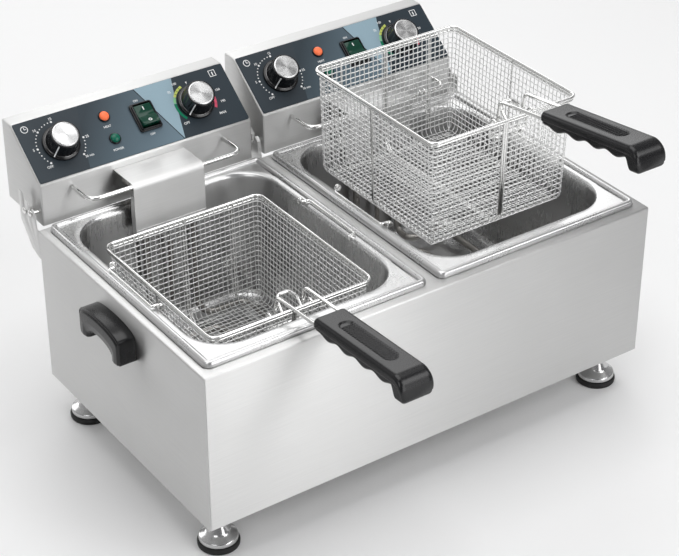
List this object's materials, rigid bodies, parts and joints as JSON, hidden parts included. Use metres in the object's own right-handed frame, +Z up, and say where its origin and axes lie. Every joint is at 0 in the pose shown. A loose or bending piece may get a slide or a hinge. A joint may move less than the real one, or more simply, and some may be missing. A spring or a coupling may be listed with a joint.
{
  "type": "countertop deep fryer",
  "caption": "Countertop deep fryer with side-by-side lift-out oil tanks, hanging control heads over immersed heating elements, and wire baskets with folding grips.",
  "frame": {"origin": "bottom centre of the overall box, on the surface the feet stand on", "axes": "+X to the user's right, +Y to the rear, +Z up"},
  "size_m": [0.6026, 0.5771, 0.4005],
  "materials": {
    "brushed_steel": "fine straight brushing, satin",
    "tank_steel": "drawn steel, satin inside",
    "polished_wire": "polished wire",
    "mesh_wire": "bright woven wire",
    "element_steel": "dull steel tube",
    "black_plastic": "satin, fine moulded texture",
    "switch_green": "translucent green, glossy",
    "lamp_orange": "translucent orange, glossy",
    "lamp_green": "translucent green, glossy",
    "panel_slate": "printed film, satin",
    "knob_cap": "spun, fine concentric grain",
    "foot_metal": "turned, satin",
    "black_rubber": "matt",
    "component_plastic": "plain moulded case"
  },
  "bodies": {
    "base": {"housing": "brushed_steel", "base_pan": "brushed_steel", "side_handle_left": "black_plastic", "side_handle_right": "black_plastic"},
    "foot_front_left": {"foot_bell_front_left": "foot_metal", "foot_pad_front_left": "black_rubber"},
    "foot_front_right": {"foot_bell_front_right": "foot_metal", "foot_pad_front_right": "black_rubber"},
    "foot_rear_left": {"foot_bell_rear_left": "foot_metal", "foot_pad_rear_left": "black_rubber"},
    "foot_rear_right": {"foot_bell_rear_right": "foot_metal", "foot_pad_rear_right": "black_rubber"},
    "left_tank": {"left_oil_tank": "tank_steel"},
    "left_head": {"left_head_housing": "brushed_steel", "left_head_back_cover": "brushed_steel", "left_control_panel": "panel_slate", "left_timer": "component_plastic", "left_thermostat": "component_plastic", "left_switch_bezel": "black_plastic", "left_heat_lamp": "lamp_orange", "left_power_lamp": "lamp_green", "left_hanger_rail": "polished_wire", "left_element_guard": "brushed_steel", "left_heating_element": "element_steel", "left_cable_gland": "black_plastic"},
    "left_basket": {"left_basket_frame": "polished_wire", "left_basket_mesh": "mesh_wire"},
    "left_basket_handle": {"left_basket_handle_wire": "polished_wire", "left_basket_grip": "black_plastic"},
    "left_tank_bail_outer": {"left_tank_bail_outer": "polished_wire"},
    "left_tank_bail_inner": {"left_tank_bail_inner": "polished_wire"},
    "left_timer_knob": {"left_timer_knob": "black_plastic", "left_timer_knob_cap": "knob_cap"},
    "left_thermostat_knob": {"left_thermostat_knob": "black_plastic", "left_thermostat_knob_cap": "knob_cap"},
    "left_switch_rocker": {"left_switch_rocker": "switch_green"},
    "right_tank": {"right_oil_tank": "tank_steel"},
    "right_head": {"right_head_housing": "brushed_steel", "right_head_back_cover": "brushed_steel", "right_control_panel": "panel_slate", "right_timer": "component_plastic", "right_thermostat": "component_plastic", "right_switch_bezel": "black_plastic", "right_heat_lamp": "lamp_orange", "right_power_lamp": "lamp_green", "right_hanger_rail": "polished_wire", "right_element_guard": "brushed_steel", "right_heating_element": "element_steel", "right_cable_gland": "black_plastic"},
    "right_basket": {"right_basket_frame": "polished_wire", "right_basket_mesh": "mesh_wire"},
    "right_basket_handle": {"right_basket_handle_wire": "polished_wire", "right_basket_grip": "black_plastic"},
    "right_tank_bail_outer": {"right_tank_bail_outer": "polished_wire"},
    "right_tank_bail_inner": {"right_tank_bail_inner": "polished_wire"},
    "right_timer_knob": {"right_timer_knob": "black_plastic", "right_timer_knob_cap": "knob_cap"},
    "right_thermostat_knob": {"right_thermostat_knob": "black_plastic", "right_thermostat_knob_cap": "knob_cap"},
    "right_switch_rocker": {"right_switch_rocker": "switch_green"}
  },
  "joints": [
    {"name": "foot_front_left_screw", "type": "hinge", "parent": "base", "child": "foot_front_left", "pos_m": [-0.252, -0.1075, 0], "axis": [0, 0, 1], "continuous": true},
    {"name": "foot_front_right_screw", "type": "hinge", "parent": "base", "child": "foot_front_right", "pos_m": [0.252, -0.1075, 0], "axis": [0, 0, 1], "continuous": true},
    {"name": "foot_rear_left_screw", "type": "hinge", "parent": "base", "child": "foot_rear_left", "pos_m": [-0.252, 0.1605, 0], "axis": [0, 0, 1], "continuous": true},
    {"name": "foot_rear_right_screw", "type": "hinge", "parent": "base", "child": "foot_rear_right", "pos_m": [0.252, 0.1605, 0], "axis": [0, 0, 1], "continuous": true},
    {"name": "left_tank_lift", "type": "slide", "parent": "base", "child": "left_tank", "axis": [0, 0, 1], "range_m": [0, 0.17]},
    {"name": "left_head_lift", "type": "slide", "parent": "left_tank", "child": "left_head", "axis": [0, 0, 1], "range_m": [0, 0.18]},
    {"name": "left_basket_lift", "type": "slide", "parent": "left_head", "child": "left_basket", "axis": [0, 0, 1], "range_m": [0, 0.16]},
    {"name": "left_basket_handle_fold", "type": "hinge", "parent": "left_basket", "child": "left_basket_handle", "pos_m": [-0.142, -0.071, 0.205], "axis": [-1, 0, 0], "range_deg": [0, 90]},
    {"name": "left_tank_bail_outer_fold", "type": "hinge", "parent": "left_tank", "child": "left_tank_bail_outer", "pos_m": [-0.2535, 0.0305, 0.237], "axis": [0, 1, 0], "range_deg": [0, 100]},
    {"name": "left_tank_bail_inner_fold", "type": "hinge", "parent": "left_tank", "child": "left_tank_bail_inner", "pos_m": [-0.0245, 0.0305, 0.237], "axis": [0, -1, 0], "range_deg": [0, 100]},
    {"name": "left_timer_turn", "type": "hinge", "parent": "left_head", "child": "left_timer_knob", "pos_m": [-0.227, 0.23016, 0.30059], "axis": [0, 0.6048, -0.7964], "range_deg": [0, 270]},
    {"name": "left_thermostat_turn", "type": "hinge", "parent": "left_head", "child": "left_thermostat_knob", "pos_m": [-0.0605, 0.23016, 0.30059], "axis": [0, 0.6048, -0.7964], "range_deg": [0, 270]},
    {"name": "left_switch_rock", "type": "hinge", "parent": "left_head", "child": "left_switch_rocker", "pos_m": [-0.1235, 0.22975, 0.30279], "axis": [1, 0, 0], "range_deg": [0, 20]},
    {"name": "right_tank_lift", "type": "slide", "parent": "base", "child": "right_tank", "axis": [0, 0, 1], "range_m": [0, 0.17]},
    {"name": "right_head_lift", "type": "slide", "parent": "right_tank", "child": "right_head", "axis": [0, 0, 1], "range_m": [0, 0.18]},
    {"name": "right_basket_lift", "type": "slide", "parent": "right_head", "child": "right_basket", "axis": [0, 0, 1], "range_m": [0, 0.12]},
    {"name": "right_basket_handle_fold", "type": "hinge", "parent": "right_basket", "child": "right_basket_handle", "pos_m": [0.15, -0.052, 0.324], "axis": [-1, 0, 0], "range_deg": [-4.5, 90]},
    {"name": "right_tank_bail_outer_fold", "type": "hinge", "parent": "right_tank", "child": "right_tank_bail_outer", "pos_m": [0.2535, 0.0305, 0.237], "axis": [0, -1, 0], "range_deg": [0, 100]},
    {"name": "right_tank_bail_inner_fold", "type": "hinge", "parent": "right_tank", "child": "right_tank_bail_inner", "pos_m": [0.0245, 0.0305, 0.237], "axis": [0, 1, 0], "range_deg": [0, 100]},
    {"name": "right_timer_turn", "type": "hinge", "parent": "right_head", "child": "right_timer_knob", "pos_m": [0.051, 0.23016, 0.30059], "axis": [0, 0.6048, -0.7964], "range_deg": [0, 270]},
    {"name": "right_thermostat_turn", "type": "hinge", "parent": "right_head", "child": "right_thermostat_knob", "pos_m": [0.2175, 0.23016, 0.30059], "axis": [0, 0.6048, -0.7964], "range_deg": [0, 270]},
    {"name": "right_switch_rock", "type": "hinge", "parent": "right_head", "child": "right_switch_rocker", "pos_m": [0.1545, 0.22975, 0.30279], "axis": [1, 0, 0], "range_deg": [0, 20]}
  ]
}
